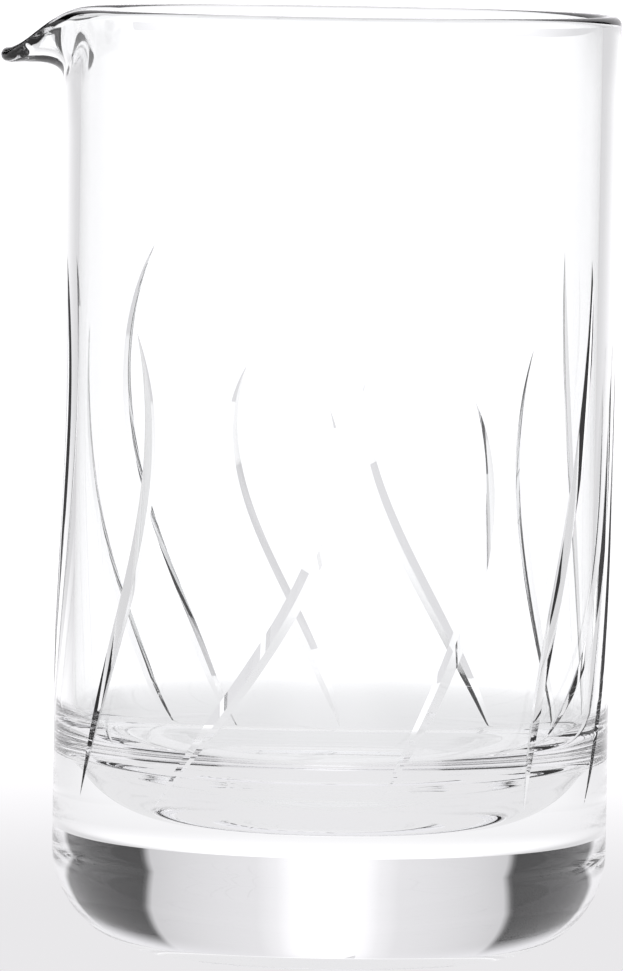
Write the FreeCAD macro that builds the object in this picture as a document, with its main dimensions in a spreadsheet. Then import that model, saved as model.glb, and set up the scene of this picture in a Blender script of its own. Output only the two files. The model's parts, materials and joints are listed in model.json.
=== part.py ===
import FreeCAD, Part
import math
import os
import Sketcher

# Cocktail mixing glass: one piece of thick clear glass.  A straight cylinder
# with a heavy base, a large rounded foot corner, a fire-rounded rim, one small
# drooping pouring lip and a ring of hand-cut V grooves (the "blades").
#
# Frame: millimetres, origin at the centre of the plane the glass stands on,
# +Z up, pouring lip toward -X.  Azimuths are measured from -Y toward +X, so
# the lip is at azimuth 270.

doc = FreeCAD.newDocument("MixingGlass")

# ---------------------------------------------------------------- sizes
SIZES = [
    ("body_radius", 44.5),
    ("total_height", 150.0),
    ("wall_thickness", 3.0),
    ("floor_height", 20.8),
    ("foot_corner", 16.0),
    ("bowl_corner", 10.0),
    ("shoulder_height", 31.5),
    ("hollow_edge_radius", 27.0),
    ("hollow_edge_height", 29.0),
    ("hollow_edge_round", 5.0),
    ("hollow_foot_radius", 22.5),
    ("hollow_corner", 12.0),
    ("punt_radius", 19.5),
    ("punt_rise", 0.9),
    ("lip_start_height", 130.0),
    ("lip_half_angle", 36.0),
    ("lip_spread_angle", 33.0),
    ("lip_beak_angle", 11.0),
    ("lip_reach", 10.2),
    ("lip_droop", 6.2),
    ("lip_bend_height", 138.2),
    ("lip_edge_thickness", 2.4),
    ("groove_half_width", 1.4),
    ("groove_depth", 0.6),
    ("groove_overcut", 1.4),
]

# Each blade: azimuth at the tip, at one third, at two thirds and at the foot,
# then the height of the tip and of the foot.
BLADES = [
    (-1.4, -2.6, -17.2, -38.0, 90.0, 26.2),
    (28.9, 32.0, 24.2, 10.5, 91.0, 29.2),
    (63.6, 60.2, 50.4, 43.1, 112.0, 25.8),
    (78.0, 76.0, 68.5, 48.2, 93.0, 36.7),
    (87.0, 82.5, 76.5, 64.7, 99.0, 25.7),
    (116.9, 113.0, 104.0, 92.0, 111.5, 27.2),
    (129.3, 133.0, 126.0, 112.0, 95.0, 26.2),
    (173.6, 169.0, 154.0, 138.5, 88.0, 27.2),
    (200.3, 201.6, 188.2, 178.0, 91.0, 27.2),
    (226.1, 234.7, 218.7, 202.0, 111.0, 26.2),
    (258.0, 253.6, 235.0, 218.5, 99.0, 27.2),
    (285.0, 287.5, 279.0, 263.0, 111.0, 26.2),
    (315.4, 318.8, 309.8, 297.5, 100.3, 26.0),
]
BLADE_FIELDS = ["az_tip", "az_upper", "az_lower", "az_foot", "tip_height", "foot_height"]

sheet = doc.addObject("Spreadsheet::Sheet", "Sizes")
row = 1
for name, value in SIZES:
    sheet.set(f"A{row}", name)
    sheet.set(f"B{row}", str(value))
    sheet.setAlias(f"B{row}", name)
    row += 1
for number, blade in enumerate(BLADES, start=1):
    for field, value in zip(BLADE_FIELDS, blade):
        alias = f"blade{number:02d}_{field}"
        sheet.set(f"A{row}", alias)
        sheet.set(f"B{row}", str(value))
        sheet.setAlias(f"B{row}", alias)
        row += 1
doc.recompute()


def size(name):
    return float(sheet.get(name))


body_radius = size("body_radius")
total_height = size("total_height")
wall = size("wall_thickness")
inner_radius = body_radius - wall
floor_height = size("floor_height")
foot_corner = size("foot_corner")
bowl_corner = size("bowl_corner")
shoulder_height = size("shoulder_height")
hollow_edge_radius = size("hollow_edge_radius")
hollow_edge_height = size("hollow_edge_height")
hollow_edge_round = size("hollow_edge_round")
hollow_foot_radius = size("hollow_foot_radius")
hollow_corner = size("hollow_corner")
punt_radius = size("punt_radius")
punt_rise = size("punt_rise")


# ---------------------------------------------------------------- turned blank
# Half section in the XZ plane: punt, foot ring, rounded foot corner, wall,
# rounded rim, straight bore, rounded bowl corner, sloping shoulder, rounded edge
# of the middle hollow, its sloping side, its rounded corner, flat inside floor.
def point(x, y):
    return FreeCAD.Vector(x, y, 0)


def arc_of(centre, radius, start_deg, end_deg):
    circle = Part.Circle(point(*centre), FreeCAD.Vector(0, 0, 1), radius)
    return Part.ArcOfCircle(circle, math.radians(start_deg), math.radians(end_deg))


def rounded(before, corner, after, radius):
    """Start, middle and end of the arc that rounds a corner between two lines."""
    back = (before - corner).normalize()
    ahead = (after - corner).normalize()
    half = back.getAngle(ahead) / 2
    centre = corner + (back + ahead).normalize() * (radius / math.sin(half))
    start = corner + back * (radius / math.tan(half))
    end = corner + ahead * (radius / math.tan(half))
    middle = centre + (corner - centre).normalize() * radius
    return start, middle, end


def origin_plane(body, role):
    for feature in body.Origin.OriginFeatures:
        if feature.Role == role:
            return feature
    raise ValueError(role)


blank = doc.addObject("PartDesign::Body", "TurnedBlank")
section = blank.newObject("Sketcher::SketchObject", "HalfSection")
section.AttachmentSupport = [(origin_plane(blank, "XZ_Plane"), "")]
section.MapMode = "FlatFace"

punt_sphere = (punt_radius**2 + punt_rise**2) / (2 * punt_rise)
punt_angle = math.degrees(math.asin(punt_radius / punt_sphere))
rim_z = total_height - wall / 2
rim_r = body_radius - wall / 2

PUNT = section.addGeometry(
    arc_of((0, punt_rise - punt_sphere), punt_sphere, 90 - punt_angle, 90), False
)
FOOT = section.addGeometry(
    Part.LineSegment(point(punt_radius, 0), point(body_radius - foot_corner, 0)), False
)
CORNER = section.addGeometry(
    arc_of((body_radius - foot_corner, foot_corner), foot_corner, -90, 0), False
)
OUTSIDE = section.addGeometry(
    Part.LineSegment(point(body_radius, foot_corner), point(body_radius, rim_z)), False
)
RIM = section.addGeometry(arc_of((rim_r, rim_z), wall / 2, 0, 180), False)
shoulder_corner = point(inner_radius, shoulder_height)
edge_corner = point(hollow_edge_radius, hollow_edge_height)
foot_point = point(hollow_foot_radius, floor_height)
bowl_start, bowl_middle, bowl_end = rounded(
    point(inner_radius, rim_z), shoulder_corner, edge_corner, bowl_corner
)
edge_start, edge_middle, edge_end = rounded(
    shoulder_corner, edge_corner, foot_point, hollow_edge_round
)
hollow_start, hollow_middle, hollow_end = rounded(
    edge_corner, foot_point, point(0, floor_height), hollow_corner
)
INSIDE = section.addGeometry(
    Part.LineSegment(point(inner_radius, rim_z), bowl_start), False
)
BOWL = section.addGeometry(Part.Arc(bowl_start, bowl_middle, bowl_end), False)
SHOULDER = section.addGeometry(Part.LineSegment(bowl_end, edge_start), False)
EDGE = section.addGeometry(Part.Arc(edge_start, edge_middle, edge_end), False)
SIDE = section.addGeometry(Part.LineSegment(edge_end, hollow_start), False)
HOLLOW = section.addGeometry(Part.Arc(hollow_start, hollow_middle, hollow_end), False)
FLOOR = section.addGeometry(
    Part.LineSegment(hollow_end, point(0, floor_height)), False
)
AXIS = section.addGeometry(
    Part.LineSegment(point(0, floor_height), point(0, punt_rise)), False
)

START = 1
END = 2
CENTRE = 3
joints = [
    (PUNT, START, FOOT, START),
    (FOOT, END, CORNER, START),
    (CORNER, END, OUTSIDE, START),
    (OUTSIDE, END, RIM, START),
    (RIM, END, INSIDE, START),
    (FLOOR, END, AXIS, START),
    (AXIS, END, PUNT, END),
]
for first, first_end, second, second_end in joints:
    section.addConstraint(
        Sketcher.Constraint("Coincident", first, first_end, second, second_end)
    )


def nearer_end(arc, place):
    """Which end of a sketch arc lies at a place; arcs are always kept anticlockwise."""
    if section.getPoint(arc, START).distanceToPoint(place) < 1e-4:
        return START
    return END


# the inside corners run smoothly into the straight lines beside them
smooth = [
    (INSIDE, END, BOWL, bowl_start),
    (SHOULDER, START, BOWL, bowl_end),
    (SHOULDER, END, EDGE, edge_start),
    (SIDE, START, EDGE, edge_end),
    (SIDE, END, HOLLOW, hollow_start),
    (FLOOR, START, HOLLOW, hollow_end),
]
for line, line_end, arc, place in smooth:
    section.addConstraint(
        Sketcher.Constraint("Tangent", line, line_end, arc, nearer_end(arc, place))
    )
for line in (OUTSIDE, INSIDE):
    section.addConstraint(Sketcher.Constraint("Vertical", line))
for line in (FOOT, FLOOR):
    section.addConstraint(Sketcher.Constraint("Horizontal", line))
section.addConstraint(Sketcher.Constraint("PointOnObject", PUNT, CENTRE, -2))
section.addConstraint(Sketcher.Constraint("PointOnObject", AXIS, START, -2))
section.addConstraint(Sketcher.Constraint("PointOnObject", AXIS, END, -2))
section.addConstraint(Sketcher.Constraint("PointOnObject", FOOT, START, -1))


def measure(label, kind, parts, value, expression):
    index = section.addConstraint(Sketcher.Constraint(kind, *parts, value))
    section.renameConstraint(index, label)
    section.setExpression(f".Constraints.{label}", expression)


def from_origin(label, kind, element, which, value, expression):
    measure(label, kind, (-1, 1, element, which), value, expression)


from_origin(
    "punt_edge", "DistanceX", FOOT, START, punt_radius, "Sizes.punt_radius * 1 mm"
)
from_origin("punt_top", "DistanceY", AXIS, END, punt_rise, "Sizes.punt_rise * 1 mm")
from_origin(
    "foot_ring", "DistanceX", FOOT, END, body_radius - foot_corner,
    "(Sizes.body_radius - Sizes.foot_corner) * 1 mm",
)
from_origin(
    "corner_x", "DistanceX", CORNER, CENTRE, body_radius - foot_corner,
    "(Sizes.body_radius - Sizes.foot_corner) * 1 mm",
)
from_origin(
    "outer_wall", "DistanceX", CORNER, END, body_radius, "Sizes.body_radius * 1 mm"
)
from_origin(
    "corner_top", "DistanceY", CORNER, END, foot_corner, "Sizes.foot_corner * 1 mm"
)
for label, which in (("rim_outside", START), ("rim_centre", CENTRE), ("rim_inside", END)):
    from_origin(
        label, "DistanceY", RIM, which, rim_z,
        "(Sizes.total_height - Sizes.wall_thickness / 2) * 1 mm",
    )
from_origin(
    "bore_wall", "DistanceX", INSIDE, END, inner_radius,
    "(Sizes.body_radius - Sizes.wall_thickness) * 1 mm",
)
from_origin(
    "floor_top", "DistanceY", FLOOR, END, floor_height, "Sizes.floor_height * 1 mm"
)
for arc, name in (
    (BOWL, "bowl_corner"), (EDGE, "hollow_edge_round"), (HOLLOW, "hollow_corner")
):
    measure(name, "Radius", (arc,), size(name), f"Sizes.{name} * 1 mm")

# the sharp corners that the rounded ones replace carry the sizes
sharp = [
    (shoulder_corner, INSIDE, SHOULDER, None, "shoulder_height"),
    (edge_corner, SHOULDER, SIDE, "hollow_edge_radius", "hollow_edge_height"),
    (foot_point, SIDE, FLOOR, "hollow_foot_radius", None),
]
for place, first, second, across, up in sharp:
    mark = section.addGeometry(Part.Point(place), True)
    section.addConstraint(Sketcher.Constraint("PointOnObject", mark, START, first))
    section.addConstraint(Sketcher.Constraint("PointOnObject", mark, START, second))
    if across:
        from_origin(
            across, "DistanceX", mark, START, size(across), f"Sizes.{across} * 1 mm"
        )
    if up:
        from_origin(up, "DistanceY", mark, START, size(up), f"Sizes.{up} * 1 mm")

turned = blank.newObject("PartDesign::Revolution", "Turned")
turned.Profile = section
turned.ReferenceAxis = (section, ["V_Axis"])
turned.Angle = 360.0
doc.recompute()

# The wall is opened over a sector at the top; the pulled lip fills it.
lip_start = size("lip_start_height")
half_angle = size("lip_half_angle")
far = body_radius * 1.6
sector = blank.newObject("Sketcher::SketchObject", "LipSector")
sector.AttachmentSupport = [(origin_plane(blank, "XY_Plane"), "")]
sector.MapMode = "FlatFace"
sector.setExpression("AttachmentOffset.Base.z", "Sizes.lip_start_height * 1 mm")
side = far * math.tan(math.radians(half_angle))
sector.addGeometry(Part.LineSegment(point(0, 0), point(-far, side)), False)
sector.addGeometry(Part.LineSegment(point(-far, side), point(-far, -side)), False)
sector.addGeometry(Part.LineSegment(point(-far, -side), point(0, 0)), False)
sector.addConstraint(Sketcher.Constraint("Coincident", 0, 2, 1, 1))
sector.addConstraint(Sketcher.Constraint("Coincident", 1, 2, 2, 1))
sector.addConstraint(Sketcher.Constraint("Coincident", 2, 2, 0, 1))
sector.addConstraint(Sketcher.Constraint("Coincident", 0, 1, -1, 1))
sector.addConstraint(Sketcher.Constraint("Vertical", 1))
index = sector.addConstraint(Sketcher.Constraint("DistanceX", 1, 1, -1, 1, far))
sector.renameConstraint(index, "sector_reach")
sector.setExpression(".Constraints.sector_reach", "Sizes.body_radius * 1.6 mm")
index = sector.addConstraint(Sketcher.Constraint("DistanceY", 1, 2, -1, 1, side))
sector.renameConstraint(index, "sector_low")
sector.setExpression(
    ".Constraints.sector_low",
    "Sizes.body_radius * 1.6 mm * tan(Sizes.lip_half_angle * 1 deg)",
)
index = sector.addConstraint(Sketcher.Constraint("DistanceY", -1, 1, 1, 1, side))
sector.renameConstraint(index, "sector_high")
sector.setExpression(
    ".Constraints.sector_high",
    "Sizes.body_radius * 1.6 mm * tan(Sizes.lip_half_angle * 1 deg)",
)

opening = blank.newObject("PartDesign::Pocket", "LipOpening")
opening.Profile = sector
opening.Type = "Length"
opening.Reversed = True
opening.setExpression(
    "Length", "(Sizes.total_height - Sizes.lip_start_height) * 1 mm + 5 mm"
)
doc.recompute()


# ---------------------------------------------------------------- pouring lip
# The wall is followed in meridian sections.  Its centre line goes straight up
# and then bends outward; how far it bends falls away on both sides of the lip.
def lip_swell(offset_deg):
    """1 in the middle of the lip, 0 where the rim is a plain circle again."""
    spread = size("lip_spread_angle")
    if abs(offset_deg) >= spread:
        return 0.0
    beak = math.exp(-((offset_deg / size("lip_beak_angle")) ** 2))
    skirt = math.cos(math.radians(90.0 * offset_deg / spread)) ** 2
    return skirt * (0.25 + 0.75 * beak)


def blend(low, high, share):
    return low + (high - low) * share


def bezier(controls, t):
    a, b, c, d = controls
    u = 1.0 - t
    weights = (u**3, 3 * u * u * t, 3 * u * t * t, t**3)
    r = sum(k * p[0] for k, p in zip(weights, (a, b, c, d)))
    z = sum(k * p[1] for k, p in zip(weights, (a, b, c, d)))
    return r, z


def lip_section(offset_deg):
    """Closed wire of the wall at one azimuth, in its meridian plane."""
    swell = lip_swell(offset_deg)
    droop = swell * swell * (3.0 - 2.0 * swell)
    middle = body_radius - wall / 2
    reach = size("lip_reach") - (size("lip_edge_thickness") - wall) / 2
    bend = blend(rim_z - 6.5, size("lip_bend_height"), droop)
    edge_z = rim_z - size("lip_droop") * droop
    controls = (
        (middle, bend),
        (middle, blend(bend + 2.2, size("lip_bend_height") + 3.4, droop)),
        (middle + 2.4 * swell, blend(bend + 4.3, edge_z + 0.5, droop)),
        (middle + (reach - 0.3) * swell, edge_z),
    )
    centre = []
    straight = 4
    for i in range(straight):
        centre.append((middle, blend(lip_start, bend, i / straight)))
    steps = 10
    for i in range(steps + 1):
        centre.append(bezier(controls, i / steps))
    outer = []
    inner = []
    last = len(centre) - 1
    for i, (r, z) in enumerate(centre):
        before = centre[max(i - 1, 0)]
        after = centre[min(i + 1, last)]
        run = (after[0] - before[0], after[1] - before[1])
        length = math.hypot(*run)
        tangent = (run[0] / length, run[1] / length)
        thick = blend(wall, size("lip_edge_thickness"), swell * i / last) / 2
        outer.append((r + tangent[1] * thick, z - tangent[0] * thick))
        inner.append((r - tangent[1] * thick, z + tangent[0] * thick))
    crest = (centre[last][0] + tangent[0] * thick, centre[last][1] + tangent[1] * thick)

    azimuth = math.radians(180.0 + offset_deg)

    def place(rz):
        return FreeCAD.Vector(rz[0] * math.cos(azimuth), rz[0] * math.sin(azimuth), rz[1])

    outside = Part.BSplineCurve()
    outside.interpolate([place(p) for p in outer])
    rim = Part.Arc(place(outer[last]), place(crest), place(inner[last]))
    inside = Part.BSplineCurve()
    inside.interpolate([place(p) for p in reversed(inner)])
    foot = Part.LineSegment(place(inner[0]), place(outer[0]))
    edges = [outside.toShape(), rim.toShape(), inside.toShape(), foot.toShape()]
    return Part.Wire(edges)


section_count = 19
wires = []
for i in range(section_count):
    offset = -half_angle + 2 * half_angle * i / (section_count - 1)
    wires.append(lip_section(offset))
lip = doc.addObject("Part::Feature", "PouringLip")
lip.Shape = Part.makeLoft(wires, True, False)

whole = doc.addObject("Part::Fuse", "GlassBeforeCutting")
whole.Base = blank
whole.Tool = lip
whole.Refine = False
doc.recompute()


# ---------------------------------------------------------------- cut blades
# Each blade is a V groove that follows a curve on the outside wall.  The wheel
# rises out of the glass at both ends, so the groove narrows to a point.
def blade_azimuth(blade, t):
    """Smooth curve through the four azimuths at t = 0, 1/3, 2/3 and 1."""
    nodes = (0.0, 1.0 / 3.0, 2.0 / 3.0, 1.0)
    total = 0.0
    for i in range(4):
        weight = 1.0
        for j in range(4):
            if j != i:
                weight *= (t - nodes[j]) / (nodes[i] - nodes[j])
        total += weight * blade[i]
    return total


def wheel_depth(t):
    """Depth of the groove line below the wall; negative beyond the ends."""
    depth = size("groove_depth")
    rise = 1.0 - abs(2.0 * t - 1.0) ** 3.2
    return depth * rise


def groove_section(blade, t):
    """Triangle across the groove: its line in the glass, its mouth outside."""
    z = blend(blade[4], blade[5], t)
    azimuth = math.radians(blade_azimuth(blade, t))
    step = 0.01
    dz = (blade[5] - blade[4]) * 2 * step
    ahead = blade_azimuth(blade, t + step)
    behind = blade_azimuth(blade, t - step)
    da = math.radians(ahead - behind) * body_radius
    radial = FreeCAD.Vector(math.sin(azimuth), -math.cos(azimuth), 0)
    round_way = FreeCAD.Vector(math.cos(azimuth), math.sin(azimuth), 0)
    along = round_way * da + FreeCAD.Vector(0, 0, dz)
    along.normalize()
    across = radial.cross(along)
    overcut = size("groove_overcut")
    depth = wheel_depth(t)
    slope = size("groove_half_width") / size("groove_depth")
    half = (depth + overcut) * slope
    on_axis = FreeCAD.Vector(0, 0, z)
    line = on_axis + radial * (body_radius - depth)
    left = on_axis + radial * (body_radius + overcut) - across * half
    right = on_axis + radial * (body_radius + overcut) + across * half
    return Part.makePolygon([line, left, right, line])


cutters = []
stations = 15
for number in range(1, len(BLADES) + 1):
    blade = [size(f"blade{number:02d}_{field}") for field in BLADE_FIELDS]
    wires = []
    for i in range(stations):
        t = blend(-0.03, 1.03, i / (stations - 1))
        wires.append(groove_section(blade, t))
    cutter = doc.addObject("Part::Feature", f"BladeCutter{number:02d}")
    cutter.Shape = Part.makeLoft(wires, True, False)
    cutters.append(cutter)

wheel_cuts = doc.addObject("Part::MultiFuse", "WheelCuts")
wheel_cuts.Shapes = cutters
wheel_cuts.Refine = False

glass = doc.addObject("Part::Cut", "MixingGlassShape")
glass.Base = whole
glass.Tool = wheel_cuts
glass.Refine = False
glass.Label = "mixing_glass"
glass.Placement = FreeCAD.Placement()
doc.recompute()

# ---------------------------------------------------------------- checks and export
for item in doc.Objects:
    if "Invalid" in item.State or "Error" in item.State:
        raise RuntimeError(f"{item.Label} did not build: {item.State}")
    shape = getattr(item, "Shape", None)
    if shape is not None and not item.isDerivedFrom("App::Origin"):
        if item.isDerivedFrom("App::OriginFeature"):
            continue
        if shape.isNull() or not shape.isValid():
            raise RuntimeError(f"{item.Label} has no valid shape")

box = glass.Shape.BoundBox
print("solids", len(glass.Shape.Solids), "volume", round(glass.Shape.Volume))
print("box", [round(v, 2) for v in (box.XMin, box.XMax, box.YMin, box.YMax, box.ZMin, box.ZMax)])

os.makedirs("parts", exist_ok=True)
for item in [glass]:
    item.Shape.exportStep(f"parts/{item.Label}.step")
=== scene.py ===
import json
import math

import bpy
import numpy as np
from mathutils import Matrix, Vector
from mathutils.geometry import delaunay_2d_cdt


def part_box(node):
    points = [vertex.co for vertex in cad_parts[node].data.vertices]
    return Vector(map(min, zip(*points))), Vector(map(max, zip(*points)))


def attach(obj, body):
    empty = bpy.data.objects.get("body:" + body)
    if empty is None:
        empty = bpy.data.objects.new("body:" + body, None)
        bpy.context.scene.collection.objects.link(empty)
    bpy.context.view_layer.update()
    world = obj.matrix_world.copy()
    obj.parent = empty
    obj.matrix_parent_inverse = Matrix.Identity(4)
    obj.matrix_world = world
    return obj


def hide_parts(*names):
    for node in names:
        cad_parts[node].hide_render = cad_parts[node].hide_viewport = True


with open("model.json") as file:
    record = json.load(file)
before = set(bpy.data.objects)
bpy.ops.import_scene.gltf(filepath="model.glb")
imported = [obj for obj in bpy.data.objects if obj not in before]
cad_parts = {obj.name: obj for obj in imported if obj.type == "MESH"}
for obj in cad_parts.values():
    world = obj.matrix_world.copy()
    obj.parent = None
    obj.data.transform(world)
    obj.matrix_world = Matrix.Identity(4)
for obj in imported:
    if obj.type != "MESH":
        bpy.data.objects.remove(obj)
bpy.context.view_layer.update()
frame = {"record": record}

# ---------------------------------------------------------------- sizes, metres
MM = 0.001
NODE = "mixing_glass"
NODE_LOW, NODE_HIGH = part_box(NODE)
BODY_RADIUS = (NODE_HIGH.y - NODE_LOW.y) / 2
TOTAL_HEIGHT = NODE_HIGH.z
BORE = next(m for m in frame["record"]["mounts"] if m["name"] == "mouth_bore")
INNER_RADIUS = BORE["dims"]["r_mm"] * MM
WALL = BODY_RADIUS - INNER_RADIUS
FOOT_CORNER = 16.0 * MM
PUNT_RADIUS = 19.5 * MM
PUNT_RISE = 0.9 * MM

FLOOR_HEIGHT = 20.8 * MM
BOWL_CORNER = 10.0 * MM
SHOULDER_HEIGHT = 31.5 * MM
HOLLOW_EDGE_RADIUS = 27.0 * MM
HOLLOW_EDGE_HEIGHT = 29.0 * MM
HOLLOW_EDGE_ROUND = 5.0 * MM
HOLLOW_FOOT_RADIUS = 22.5 * MM
HOLLOW_CORNER = 12.0 * MM

LIP_START = 130.0 * MM
LIP_SPREAD_ANGLE = 33.0
LIP_BEAK_ANGLE = 11.0
LIP_SKIRT_SHARE = 0.25
LIP_REACH = 10.2 * MM
LIP_DROOP = 6.2 * MM
LIP_BEND_HEIGHT = 138.2 * MM
LIP_EDGE = 2.4 * MM
LIP_AZIMUTH = 270.0

# Control points of the section's curve below the rim: how far under the rim it
# leaves the straight wall, the rise of its two middle points on the plain rim
# and in the lip, and how far out the last two stand.
RIM_BEND_DROP = 6.5 * MM
RIM_FIRST_RISE = 2.2 * MM
RIM_SECOND_RISE = 4.3 * MM
LIP_FIRST_RISE = 3.4 * MM
LIP_SECOND_RISE = 0.5 * MM
LIP_SECOND_REACH = 2.4 * MM
LIP_END_SHORT = 0.3 * MM

GROOVE_HALF_WIDTH = 1.4 * MM
GROOVE_DEPTH = 0.6 * MM
WHEEL_FULLNESS = 3.2

# The cut blades, as in the CAD: azimuth in degrees at the tip, at one third, at
# two thirds and at the foot, then the height of the tip and of the foot in mm.
# Azimuths run from -Y toward +X.
BLADES = [
    (-1.4, -2.6, -17.2, -38.0, 90.0, 26.2),
    (28.9, 32.0, 24.2, 10.5, 91.0, 29.2),
    (63.6, 60.2, 50.4, 43.1, 112.0, 25.8),
    (78.0, 76.0, 68.5, 48.2, 93.0, 36.7),
    (87.0, 82.5, 76.5, 64.7, 99.0, 25.7),
    (116.9, 113.0, 104.0, 92.0, 111.5, 27.2),
    (129.3, 133.0, 126.0, 112.0, 95.0, 26.2),
    (173.6, 169.0, 154.0, 138.5, 88.0, 27.2),
    (200.3, 201.6, 188.2, 178.0, 91.0, 27.2),
    (226.1, 234.7, 218.7, 202.0, 111.0, 26.2),
    (258.0, 253.6, 235.0, 218.5, 99.0, 27.2),
    (285.0, 287.5, 279.0, 263.0, 111.0, 26.2),
    (315.4, 318.8, 309.8, 297.5, 100.3, 26.0),
]

# ---------------------------------------------------------------- mesh density
COLUMNS = 480
SEAM_AZIMUTH = 293.25
BAND_LOW = 22.0 * MM
BAND_HIGH = 114.0 * MM
BAND_ROWS = 40
GROOVE_STATIONS = 64
PUNT_ROWS = 14
FOOT_ROWS = 5
CORNER_ROWS = 33
LOWER_WALL_ROWS = 3
BORE_ROWS = 16
INSIDE_FLOOR_ROWS = 8
ARC_ROWS_LEAST = 6
ARC_ROWS_PER_MM = 2.2
LIP_STRAIGHT_ROWS = 8
LIP_CURVE_ROWS = 20
UNDER_LIP_ROWS = 5
RIM_ROUND_STEPS = 12
CAP_RADIUS = 1.0 * MM

# Points closer than this, in metres, are welded into one.
WELD = 1e-7
# On the unrolled wall, in millimetres: how far plain grid points keep from a
# blade, and how close two points may be.
BLADE_CLEARANCE = 0.32
SNAP = 1e-6
# A triangle with no corner on the ridge belongs to a blade only this close to
# its middle, as a share of the half width and a little more in millimetres.
EDGE_SHARE = 0.98
EDGE_SLACK = 0.002


def azimuths():
    """Column azimuths in degrees, once round, starting in a gap between blades."""
    return SEAM_AZIMUTH + np.arange(COLUMNS) * 360.0 / COLUMNS


def radial(azimuth_deg):
    """Unit vector straight out from the axis at an azimuth."""
    a = np.radians(azimuth_deg)
    return np.stack([np.sin(a), -np.cos(a), np.zeros_like(a)], axis=-1)


def blend(low, high, share):
    """Straight-line mix: low at share 0, high at share 1."""
    return low + (high - low) * share


class Patchwork:
    """Collects patches with their own corner normals and welds them into one mesh."""

    def __init__(self):
        self.points = []
        self.faces = []
        self.corner_normals = []

    def add(self, points, faces, normals):
        """points (n, 3); faces as index lists; normals one list of vectors per face."""
        first = sum(len(p) for p in self.points)
        self.points.append(np.asarray(points, dtype=float))
        for face, face_normals in zip(faces, normals):
            self.faces.append([first + i for i in face])
            self.corner_normals.append(face_normals)

    def add_grid(self, grid, normals):
        """grid and normals are (rows, COLUMNS, 3); rows are joined once round."""
        rows, columns = grid.shape[:2]
        faces = []
        face_normals = []
        for j in range(rows - 1):
            for i in range(columns):
                k = (i + 1) % columns
                corners = ((j, i), (j, k), (j + 1, k), (j + 1, i))
                faces.append([r * columns + c for r, c in corners])
                face_normals.append([normals[r, c] for r, c in corners])
        self.add(grid.reshape(-1, 3), faces, face_normals)

    def add_cap(self, ring, centre, normal):
        """A flat fan from a ring of points to its centre."""
        count = len(ring)
        faces = [[i, (i + 1) % count, count] for i in range(count)]
        self.add(np.vstack([ring, centre]), faces, [[normal] * 3] * count)

    def build(self, name):
        points = np.vstack(self.points)
        keys = np.round(points / WELD).astype(np.int64)
        _, first, index = np.unique(keys, axis=0, return_index=True, return_inverse=True)
        index = index.reshape(-1)
        faces = []
        normals = []
        for face, face_normals in zip(self.faces, self.corner_normals):
            welded = [int(index[i]) for i in face]
            kept = [k for k in range(len(welded)) if welded[k] != welded[k - 1]]
            if len({welded[k] for k in kept}) < 3:
                continue
            corners = [welded[k] for k in kept]
            around = points[first[corners]]
            area = np.zeros(3)
            for k in range(1, len(corners) - 1):
                area += np.cross(around[k] - around[0], around[k + 1] - around[0])
            facing = sum(np.dot(area, face_normals[k]) for k in kept)
            chosen = [face_normals[k] for k in kept]
            if facing < 0:
                corners.reverse()
                chosen.reverse()
            faces.append(corners)
            normals.extend(chosen)
        mesh = bpy.data.meshes.new(name)
        mesh.from_pydata(points[first].tolist(), [], faces)
        mesh.update()
        mesh.polygons.foreach_set("use_smooth", [True] * len(mesh.polygons))
        mesh.normals_split_custom_set([tuple(n) for n in normals])
        return mesh


# ---------------------------------------------------------------- turned surfaces
def arc_profile(centre_r, centre_z, radius, start_deg, end_deg, count, inward=False):
    """Points of an arc in the meridian plane, with normals away from its centre,
    or toward it where inward is set."""
    angles = np.radians(np.linspace(start_deg, end_deg, count))
    out = np.stack([np.cos(angles), np.sin(angles)], axis=-1)
    points = np.array([centre_r, centre_z]) + radius * out
    return points, -out if inward else out


def revolve(points, normals):
    """Sweep meridian points (r, z) and normals (r, z) once round."""
    around = radial(azimuths())
    up = np.array([0.0, 0.0, 1.0])
    grid = points[:, None, 0:1] * around[None] + points[:, None, 1:2] * up
    facing = normals[:, None, 0:1] * around[None] + normals[:, None, 1:2] * up
    return grid, facing


def add_base(work):
    """Underside: shallow punt, flat foot ring and the big rounded corner."""
    sphere = (PUNT_RADIUS**2 + PUNT_RISE**2) / (2 * PUNT_RISE)
    half = math.degrees(math.asin(PUNT_RADIUS / sphere))
    start = math.degrees(math.asin(CAP_RADIUS / sphere))
    points, normals = arc_profile(
        0, PUNT_RISE - sphere, sphere, 90 - start, 90 - half, PUNT_ROWS, inward=True
    )
    grid, facing = revolve(points, normals)
    work.add_grid(grid, facing)
    down = np.array([0.0, 0.0, -1.0])
    work.add_cap(grid[0], np.array([0.0, 0.0, PUNT_RISE]), down)

    ring = np.linspace(PUNT_RADIUS, BODY_RADIUS - FOOT_CORNER, FOOT_ROWS)
    flat = np.stack([ring, np.zeros_like(ring)], axis=-1)
    work.add_grid(*revolve(flat, np.tile([0.0, -1.0], (len(ring), 1))))

    points, normals = arc_profile(
        BODY_RADIUS - FOOT_CORNER, FOOT_CORNER, FOOT_CORNER, -90, 0, CORNER_ROWS
    )
    work.add_grid(*revolve(points, normals))
    rise = np.linspace(FOOT_CORNER, BAND_LOW, LOWER_WALL_ROWS)
    straight = np.stack([np.full_like(rise, BODY_RADIUS), rise], axis=-1)
    work.add_grid(*revolve(straight, np.tile([1.0, 0.0], (len(rise), 1))))


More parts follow.
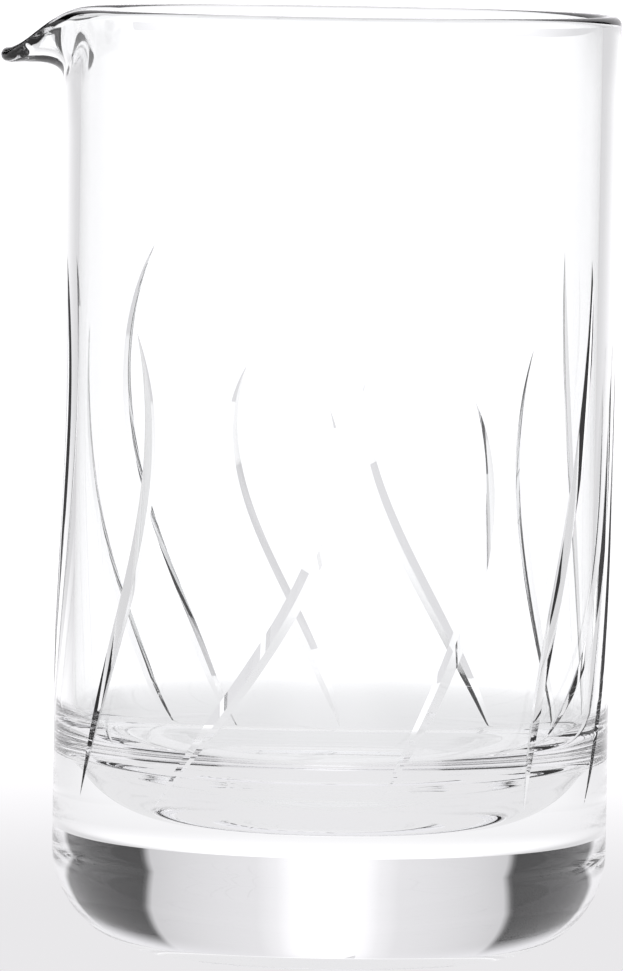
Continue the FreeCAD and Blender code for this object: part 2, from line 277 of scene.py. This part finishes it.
def rounded_profile(corners):
    """Meridian polyline (r, z, rounding radius) with its corners turned into arcs.

    Gives points and the normals on the right of the direction of travel."""
    path = []
    facing = []
    places = [np.array(c[:2]) for c in corners]
    for i, corner in enumerate(corners):
        if i in (0, len(corners) - 1) or corner[2] == 0.0:
            continue
        back = places[i - 1] - places[i]
        ahead = places[i + 1] - places[i]
        back /= np.linalg.norm(back)
        ahead /= np.linalg.norm(ahead)
        half = math.acos(np.clip(np.dot(back, ahead), -1, 1)) / 2
        middle = (back + ahead) / np.linalg.norm(back + ahead)
        centre = places[i] + middle * corner[2] / math.sin(half)
        start = places[i] + back * corner[2] / math.tan(half)
        end = places[i] + ahead * corner[2] / math.tan(half)
        a = math.atan2(start[1] - centre[1], start[0] - centre[0])
        turn = math.atan2(end[1] - centre[1], end[0] - centre[0]) - a
        turn = (turn + math.pi) % (2 * math.pi) - math.pi
        arc_mm = abs(turn) * corner[2] / MM
        count = max(ARC_ROWS_LEAST, int(arc_mm * ARC_ROWS_PER_MM) + 2)
        for share in np.linspace(0, 1, count):
            angle = a + turn * share
            out = np.array([math.cos(angle), math.sin(angle)])
            path.append(centre + out * corner[2])
            facing.append(out if turn > 0 else -out)
    return path, facing


# Inside corners from the straight bore down to the middle of the floor:
# radius, height and rounding.
INSIDE = [
    (INNER_RADIUS, BAND_HIGH, 0.0),
    (INNER_RADIUS, SHOULDER_HEIGHT, BOWL_CORNER),
    (HOLLOW_EDGE_RADIUS, HOLLOW_EDGE_HEIGHT, HOLLOW_EDGE_ROUND),
    (HOLLOW_FOOT_RADIUS, FLOOR_HEIGHT, HOLLOW_CORNER),
    (0.0, FLOOR_HEIGHT, 0.0),
]


def add_inside(work):
    """Straight bore, bowl corner, shoulder, middle hollow and its flat floor."""
    path, facing = rounded_profile(INSIDE)
    rise = np.linspace(BAND_HIGH, path[0][1], BORE_ROWS)[:-1]
    path = [np.array([INNER_RADIUS, z]) for z in rise] + path
    facing = [np.array([-1.0, 0.0])] * len(rise) + facing
    reach = np.linspace(path[-1][0], CAP_RADIUS, INSIDE_FLOOR_ROWS)[1:]
    path += [np.array([r, FLOOR_HEIGHT]) for r in reach]
    facing += [facing[-1]] * len(reach)
    grid, normals = revolve(np.array(path), np.array(facing))
    work.add_grid(grid, normals)
    centre = np.array([0.0, 0.0, FLOOR_HEIGHT])
    work.add_cap(grid[-1], centre, np.array([0.0, 0.0, 1.0]))


# ---------------------------------------------------------------- rim and pouring lip
def lip_swell(offset_deg):
    """1 in the middle of the lip, 0 where the rim is a plain circle again."""
    if abs(offset_deg) >= LIP_SPREAD_ANGLE:
        return 0.0
    beak = math.exp(-((offset_deg / LIP_BEAK_ANGLE) ** 2))
    skirt = math.cos(math.radians(90.0 * offset_deg / LIP_SPREAD_ANGLE)) ** 2
    return skirt * blend(LIP_SKIRT_SHARE, 1.0, beak)


def bezier(controls, t):
    """Point at t on a cubic curve with four control points."""
    u = 1.0 - t
    weights = (u**3, 3 * u * u * t, 3 * u * t * t, t**3)
    return sum(w * np.array(c) for w, c in zip(weights, controls))


def rim_section(azimuth_deg):
    """Meridian section of the top of the wall: outside up, over the rim, inside down."""
    offset = (azimuth_deg - LIP_AZIMUTH + 180.0) % 360.0 - 180.0
    swell = lip_swell(offset)
    droop = swell * swell * (3.0 - 2.0 * swell)
    middle = BODY_RADIUS - WALL / 2
    rim_z = TOTAL_HEIGHT - WALL / 2
    reach = LIP_REACH - (LIP_EDGE - WALL) / 2
    bend = blend(rim_z - RIM_BEND_DROP, LIP_BEND_HEIGHT, droop)
    edge_z = rim_z - LIP_DROOP * droop
    first_z = blend(bend + RIM_FIRST_RISE, LIP_BEND_HEIGHT + LIP_FIRST_RISE, droop)
    second_z = blend(bend + RIM_SECOND_RISE, edge_z + LIP_SECOND_RISE, droop)
    controls = (
        (middle, bend),
        (middle, first_z),
        (middle + LIP_SECOND_REACH * swell, second_z),
        (middle + (reach - LIP_END_SHORT) * swell, edge_z),
    )
    rise = [blend(LIP_START, bend, i / LIP_STRAIGHT_ROWS) for i in range(LIP_STRAIGHT_ROWS)]
    centre = [np.array([middle, z]) for z in rise]
    centre += [bezier(controls, i / LIP_CURVE_ROWS) for i in range(LIP_CURVE_ROWS + 1)]
    last = len(centre) - 1
    outer = []
    inner = []
    normals = []
    for i, point in enumerate(centre):
        run = centre[min(i + 1, last)] - centre[max(i - 1, 0)]
        tangent = run / np.linalg.norm(run)
        out = np.array([tangent[1], -tangent[0]])
        thick = blend(WALL, LIP_EDGE, swell * i / last) / 2
        outer.append(point + out * thick)
        inner.append(point - out * thick)
        normals.append(out)
    heights = np.linspace(BAND_HIGH, LIP_START, UNDER_LIP_ROWS)[:-1]
    below = [np.array([middle, z]) for z in heights]
    side = np.array([1.0, 0.0])
    section = [p + side * WALL / 2 for p in below] + outer
    facing = [side] * len(below) + normals
    for k in range(1, RIM_ROUND_STEPS):
        angle = math.pi * k / RIM_ROUND_STEPS
        way = normals[last] * math.cos(angle) + tangent * math.sin(angle)
        section.append(centre[last] + way * thick)
        facing.append(way)
    section += inner[::-1] + [p - side * WALL / 2 for p in below[::-1]]
    facing += [-n for n in normals[::-1]] + [-side] * len(below)
    return np.array(section), np.array(facing)


def add_rim(work):
    """Top of the wall once round, with its rounded edge and the lip."""
    grid = []
    facing = []
    for azimuth in azimuths():
        section, normals = rim_section(azimuth)
        out = radial(azimuth)
        up = np.array([0.0, 0.0, 1.0])
        grid.append(section[:, 0:1] * out + section[:, 1:2] * up)
        facing.append(normals[:, 0:1] * out + normals[:, 1:2] * up)
    grid = np.array(grid).transpose(1, 0, 2)
    facing = np.array(facing).transpose(1, 0, 2)
    # turn each normal so that it is also square to the surface's run round the glass
    round_way = np.roll(grid, -1, axis=1) - np.roll(grid, 1, axis=1)
    plane = np.cross(radial(azimuths()), np.array([0.0, 0.0, 1.0]))
    along = np.cross(facing, plane[None])
    normal = np.cross(along, round_way)
    normal /= np.linalg.norm(normal, axis=-1, keepdims=True)
    sign = np.sign(np.sum(normal * facing, axis=-1, keepdims=True))
    work.add_grid(grid, normal * sign)


# ---------------------------------------------------------------- wall with the cut blades
def blade_azimuth(blade, t):
    """Smooth curve through the four azimuths at t = 0, 1/3, 2/3 and 1."""
    nodes = (0.0, 1.0 / 3.0, 2.0 / 3.0, 1.0)
    total = 0.0
    for i in range(4):
        weight = 1.0
        for j in range(4):
            if j != i:
                weight = weight * (t - nodes[j]) / (nodes[i] - nodes[j])
        total = total + weight * blade[i]
    return total


def wheel_depth(t):
    """Depth of the cut along a blade: nothing at both ends, full over the middle."""
    return GROOVE_DEPTH * np.clip(1.0 - np.abs(2.0 * t - 1.0) ** WHEEL_FULLNESS, 0.0, 1.0)


def wall_flat(azimuth_deg, z):
    """The wall unrolled from the seam: arc length and height, in millimetres."""
    along = ((azimuth_deg - SEAM_AZIMUTH) % 360.0) * math.pi / 180 * BODY_RADIUS
    return np.stack([along, z], axis=-1) / MM


def wall_point(flat, depth=0.0):
    """Back from the unrolled wall to space, depth below the surface."""
    azimuth = SEAM_AZIMUTH + np.degrees(flat[..., 0] * MM / BODY_RADIUS)
    out = radial(azimuth)
    up = np.array([0.0, 0.0, 1.0])
    height = flat[..., 1:2] * MM
    return out * (BODY_RADIUS - np.asarray(depth)[..., None]) + height * up


def groove(blade):
    """Centre line, outlines, depths and facet normals of one blade."""
    t = 0.5 - 0.5 * np.cos(np.linspace(0.0, math.pi, GROOVE_STATIONS))
    z = blend(blade[4], blade[5], t) * MM
    centre = wall_flat(blade_azimuth(blade, t), z)
    depth = wheel_depth(t)
    along = np.gradient(centre, axis=0)
    along /= np.linalg.norm(along, axis=1, keepdims=True)
    across = np.stack([-along[:, 1], along[:, 0]], axis=-1)
    half = depth * GROOVE_HALF_WIDTH / GROOVE_DEPTH / MM
    sides = {}
    ridge = wall_point(centre, depth)
    run = np.gradient(ridge, axis=0)
    for name, sign in (("left", 1.0), ("right", -1.0)):
        edge = centre + sign * across * half[:, None]
        lean = wall_point(edge) - ridge
        lean[0] = lean[1]
        lean[-1] = lean[-2]
        normal = np.cross(run, lean)
        normal /= np.linalg.norm(normal, axis=1, keepdims=True)
        outward = np.sum(normal * radial(blade_azimuth(blade, t)), axis=1, keepdims=True)
        sides[name] = (edge, normal * np.sign(outward))
    return {"centre": centre, "depth": depth, "half": half, "sides": sides}


def near_groove(points, cut):
    """Which grid points of the unrolled wall lie in or close beside a blade."""
    centre = cut["centre"]
    gap = np.linalg.norm(points[:, None] - centre[None], axis=2)
    nearest = gap.argmin(axis=1)
    a = np.clip(nearest - 1, 0, len(centre) - 2)
    distance = np.full(len(points), np.inf)
    for step in (0, 1):
        i = np.clip(a + step, 0, len(centre) - 2)
        run = centre[i + 1] - centre[i]
        share = np.sum((points - centre[i]) * run, axis=1) / np.sum(run * run, axis=1)
        foot = centre[i] + np.clip(share, 0, 1)[:, None] * run
        distance = np.minimum(distance, np.linalg.norm(points - foot, axis=1))
    return distance < cut["half"][nearest] + BLADE_CLEARANCE


def add_cut_wall(work):
    """The band of wall that carries the blades, triangulated along their edges."""
    columns = np.arange(COLUMNS + 1) * 2 * math.pi * BODY_RADIUS / COLUMNS / MM
    rows = np.linspace(BAND_LOW, BAND_HIGH, BAND_ROWS + 1) / MM
    grid = np.stack(np.meshgrid(columns, rows), axis=-1).reshape(-1, 2)
    inside = (grid[:, 0] > SNAP) & (grid[:, 0] < columns[-1] - SNAP)
    inside &= (grid[:, 1] > rows[0] + SNAP) & (grid[:, 1] < rows[-1] - SNAP)
    cuts = [groove(blade) for blade in BLADES]
    keep = np.ones(len(grid), dtype=bool)
    for cut in cuts:
        keep &= ~(inside & near_groove(grid, cut))
    flat = list(grid[keep])
    tags = [None] * len(flat)
    edges = []
    last = GROOVE_STATIONS - 1
    for number, cut in enumerate(cuts):
        lines = {
            "left": cut["sides"]["left"][0],
            "ridge": cut["centre"],
            "right": cut["sides"]["right"][0],
        }
        tips = {0: len(flat), last: len(flat) + 1}
        flat += [cut["centre"][0], cut["centre"][last]]
        tags += [(number, 0, "tip"), (number, last, "tip")]
        for role, line in lines.items():
            before = tips[0]
            for i in range(1, last):
                flat.append(line[i])
                tags.append((number, i, role))
                edges.append((before, len(flat) - 1))
                before = len(flat) - 1
            edges.append((before, tips[last]))
    verts, _, triangles, origins, _, _ = delaunay_2d_cdt(
        [Vector(p) for p in flat], edges, [], 0, SNAP, True
    )
    placed = np.array([tuple(v) for v in verts])
    depth = np.zeros(len(placed))
    tag = [None] * len(placed)
    for i, origin in enumerate(origins):
        for source in origin:
            if tags[source] is not None:
                tag[i] = tags[source]
    for i, label in enumerate(tag):
        if label and label[2] == "ridge":
            depth[i] = cuts[label[0]]["depth"][label[1]]
    points = wall_point(placed, depth)
    out = radial(SEAM_AZIMUTH + np.degrees(placed[:, 0] * MM / BODY_RADIUS))
    faces = []
    normals = []
    for triangle in triangles:
        faces.append(list(triangle))
        side = facet_side([tag[i] for i in triangle], placed[list(triangle)], cuts)
        if side is None:
            normals.append([out[i] for i in triangle])
            continue
        facet = cuts[side[0]]["sides"][side[1]][1]
        normals.append([facet[tag[i][1]] for i in triangle])
    work.add(points, faces, normals)


def facet_side(labels, corners, cuts):
    """(blade, side) of a triangle that lies in a groove, or None on the plain wall."""
    if any(label is None for label in labels):
        return None
    if len({label[0] for label in labels}) != 1:
        return None
    cut = cuts[labels[0][0]]
    middle = corners.mean(axis=0)
    i = int(np.linalg.norm(cut["centre"] - middle, axis=1).argmin())
    run = cut["centre"][min(i + 1, GROOVE_STATIONS - 1)] - cut["centre"][max(i - 1, 0)]
    run /= np.linalg.norm(run)
    offset = middle - cut["centre"][i]
    sideways = -run[1] * offset[0] + run[0] * offset[1]
    roles = {label[2] for label in labels}
    if "ridge" not in roles and abs(sideways) > cut["half"][i] * EDGE_SHARE + EDGE_SLACK:
        return None
    if "left" in roles and "right" not in roles:
        return labels[0][0], "left"
    if "right" in roles and "left" not in roles:
        return labels[0][0], "right"
    return labels[0][0], "left" if sideways > 0 else "right"


# ---------------------------------------------------------------- material
def glass_material():
    """Clear glass with a very slow waviness."""
    material = bpy.data.materials.new("clear_glass")
    material.use_nodes = True
    nodes = material.node_tree.nodes
    links = material.node_tree.links
    shader = nodes["Principled BSDF"]
    shader.inputs["Base Color"].default_value = (0.985, 0.992, 0.99, 1.0)
    shader.inputs["Roughness"].default_value = 0.0
    shader.inputs["IOR"].default_value = 1.52
    shader.inputs["Transmission Weight"].default_value = 1.0

    place = nodes.new("ShaderNodeTexCoord")
    waves = nodes.new("ShaderNodeTexNoise")
    waves.inputs["Scale"].default_value = 28.0
    waves.inputs["Detail"].default_value = 1.0
    bump = nodes.new("ShaderNodeBump")
    bump.inputs["Strength"].default_value = 0.02
    bump.inputs["Distance"].default_value = 0.001
    links.new(place.outputs["Object"], waves.inputs["Vector"])
    links.new(waves.outputs["Fac"], bump.inputs["Height"])
    links.new(bump.outputs["Normal"], shader.inputs["Normal"])
    return material


# ---------------------------------------------------------------- the glass
work = Patchwork()
add_base(work)
add_cut_wall(work)
add_rim(work)
add_inside(work)
glass = bpy.data.objects.new("clear_mixing_glass", work.build("clear_mixing_glass"))
bpy.context.scene.collection.objects.link(glass)
glass.data.materials.append(glass_material())
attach(glass, "root")
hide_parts(NODE)


# ---------------------------------------------------------------- studio
# Brightness of the studio walls by the angle in degrees from +Y, the same on both
# sides: large soft boxes round the -Y side, a dark flag on each side, the softer
# edges of the backdrop, then the lit backdrop itself.
WALL_ZONES = [
    (180.0, 1.0),
    (67.0, 0.9),
    (62.0, 0.015),
    (31.0, 0.015),
    (29.0, 0.6),
    (8.0, 0.8),
    (4.0, 1.2),
]
WALL_STRENGTH = 1.2
# The light overhead, from where it starts to where it has taken over, as the
# sine of the height angle.
OVERHEAD = (0.70, 0.69, 0.72, 1.0)
OVERHEAD_START = 0.36
OVERHEAD_FULL = 0.62

# The floor gives off its own light, so nothing casts a shadow on it; its emission paints
# a pool of light and a shadow instead. The painted pool is bright within POOL_NEAR of
# the Y axis beside the glass, and within POOL_FAR of it at POOL_LENGTH along +Y, and
# falls to FLOOR_EDGE at POOL_FADE times as far out. A painted round shadow
# (CONTACT_SHADE) lies under and about the glass. Lengths are in metres.
FLOOR_HALF = 6.0
FLOOR_BRIGHT = 1.2
FLOOR_EDGE = 0.70
POOL_NEAR = 0.06
POOL_FAR = 0.75
POOL_LENGTH = 4.0
POOL_FADE = 3.5
CONTACT_SHADE = 0.68
SHADE_START = 0.05
SHADE_END = 0.38


def painted_pool_floor():
    """Pale glowing sheet with a painted pool of light that widens along +Y and a painted
    shadow round the glass.
    """
    half = FLOOR_HALF
    mesh = bpy.data.meshes.new("studio_floor")
    corners = [(-half, -half, 0.0), (half, -half, 0.0), (half, half, 0.0), (-half, half, 0.0)]
    mesh.from_pydata(corners, [], [(0, 1, 2, 3)])
    floor = bpy.data.objects.new("studio_floor", mesh)
    bpy.context.scene.collection.objects.link(floor)
    material = bpy.data.materials.new("floor_painted_pool_and_shadow")
    material.use_nodes = True
    nodes = material.node_tree.nodes
    links = material.node_tree.links
    shader = nodes["Principled BSDF"]
    shader.inputs["Base Color"].default_value = (0.0, 0.0, 0.0, 1.0)
    shader.inputs["Roughness"].default_value = 0.9
    shader.inputs["Specular IOR Level"].default_value = 0.0
    shader.inputs["Emission Color"].default_value = (1.0, 0.99, 1.01, 1.0)
    place = nodes.new("ShaderNodeNewGeometry")
    split = nodes.new("ShaderNodeSeparateXYZ")
    aside = nodes.new("ShaderNodeMath")
    aside.operation = "ABSOLUTE"
    width = nodes.new("ShaderNodeMapRange")
    width.inputs["From Max"].default_value = POOL_LENGTH
    width.inputs["To Min"].default_value = POOL_NEAR
    width.inputs["To Max"].default_value = POOL_FAR
    ratio = nodes.new("ShaderNodeMath")
    ratio.operation = "DIVIDE"
    # painted pool of light: floor emission brightest along +Y behind the glass
    pool = nodes.new("ShaderNodeMapRange")
    pool.interpolation_type = "SMOOTHSTEP"
    pool.inputs["From Min"].default_value = 1.0
    pool.inputs["From Max"].default_value = POOL_FADE
    pool.inputs["To Min"].default_value = FLOOR_BRIGHT
    pool.inputs["To Max"].default_value = FLOOR_EDGE
    away = nodes.new("ShaderNodeVectorMath")
    away.operation = "LENGTH"
    # painted contact shadow: floor emission darkened round the foot of the glass
    contact = nodes.new("ShaderNodeMapRange")
    contact.interpolation_type = "SMOOTHSTEP"
    contact.inputs["From Min"].default_value = SHADE_START
    contact.inputs["From Max"].default_value = SHADE_END
    contact.inputs["To Min"].default_value = CONTACT_SHADE
    level = nodes.new("ShaderNodeMath")
    level.operation = "MULTIPLY"
    links.new(place.outputs["Position"], split.inputs[0])
    links.new(split.outputs["X"], aside.inputs[0])
    links.new(split.outputs["Y"], width.inputs["Value"])
    links.new(aside.outputs[0], ratio.inputs[0])
    links.new(width.outputs[0], ratio.inputs[1])
    links.new(ratio.outputs[0], pool.inputs["Value"])
    links.new(place.outputs["Position"], away.inputs[0])
    links.new(away.outputs["Value"], contact.inputs["Value"])
    links.new(pool.outputs[0], level.inputs[0])
    links.new(contact.outputs[0], level.inputs[1])
    links.new(level.outputs[0], shader.inputs["Emission Strength"])
    mesh.materials.append(material)


def studio_world():
    """Walls by horizontal direction, with a broad soft light overhead."""
    world = bpy.data.worlds.new("studio")
    bpy.context.scene.world = world
    world.use_nodes = True
    nodes = world.node_tree.nodes
    links = world.node_tree.links
    place = nodes.new("ShaderNodeTexCoord")
    flat = nodes.new("ShaderNodeVectorMath")
    flat.operation = "MULTIPLY"
    flat.inputs[1].default_value = (1.0, 1.0, 0.0)
    unit = nodes.new("ShaderNodeVectorMath")
    unit.operation = "NORMALIZE"
    split_flat = nodes.new("ShaderNodeSeparateXYZ")
    share = nodes.new("ShaderNodeMapRange")
    share.inputs["From Min"].default_value = -1.0
    walls = nodes.new("ShaderNodeValToRGB")
    links.new(place.outputs["Generated"], flat.inputs[0])
    links.new(flat.outputs[0], unit.inputs[0])
    links.new(unit.outputs[0], split_flat.inputs[0])
    links.new(split_flat.outputs["Y"], share.inputs["Value"])
    links.new(share.outputs[0], walls.inputs["Fac"])
    stops = walls.color_ramp.elements
    stops.remove(stops[1])
    for angle, level in WALL_ZONES:
        position = (math.cos(math.radians(angle)) + 1.0) / 2.0
        stop = stops.new(position) if position > 0.0 else stops[0]
        grey = level / WALL_STRENGTH
        stop.color = (grey, grey * 0.985, grey * 1.015, 1.0)
    split = nodes.new("ShaderNodeSeparateXYZ")
    rise = nodes.new("ShaderNodeMapRange")
    rise.interpolation_type = "SMOOTHSTEP"
    rise.inputs["From Min"].default_value = OVERHEAD_START
    rise.inputs["From Max"].default_value = OVERHEAD_FULL
    above = nodes.new("ShaderNodeMix")
    above.data_type = "RGBA"
    above.inputs["B"].default_value = OVERHEAD
    links.new(place.outputs["Generated"], split.inputs[0])
    links.new(split.outputs["Z"], rise.inputs["Value"])
    links.new(rise.outputs[0], above.inputs["Factor"])
    links.new(walls.outputs["Color"], above.inputs["A"])
    background = nodes["Background"]
    links.new(above.outputs["Result"], background.inputs["Color"])
    background.inputs["Strength"].default_value = WALL_STRENGTH


def studio_camera():
    """Long lens a little above the rim, looking along +Y."""
    sensor = 36.0
    lens = 290.2245
    distance = 1.250
    height = 0.177
    pitch = math.radians(4.704)
    aside = 0.00375
    roll = math.radians(0.95)
    data = bpy.data.cameras.new("camera")
    data.sensor_width = sensor
    data.lens = lens
    data.clip_start = 0.05
    camera = bpy.data.objects.new("camera", data)
    bpy.context.scene.collection.objects.link(camera)
    where = Vector((0.0, -distance, height))
    aim = Vector((-aside, 0.0, height - distance * math.tan(pitch)))
    turn = (aim - where).to_track_quat("-Z", "Y").to_matrix().to_4x4()
    camera.matrix_world = Matrix.Translation(where) @ turn @ Matrix.Rotation(roll, 4, "Z")
    bpy.context.scene.camera = camera


painted_pool_floor()
studio_world()
studio_camera()
scene = bpy.context.scene
scene.view_settings.view_transform = "Standard"
scene.cycles.max_bounces = 24
scene.cycles.transmission_bounces = 24
scene.cycles.glossy_bounces = 12
scene.cycles.transparent_max_bounces = 16
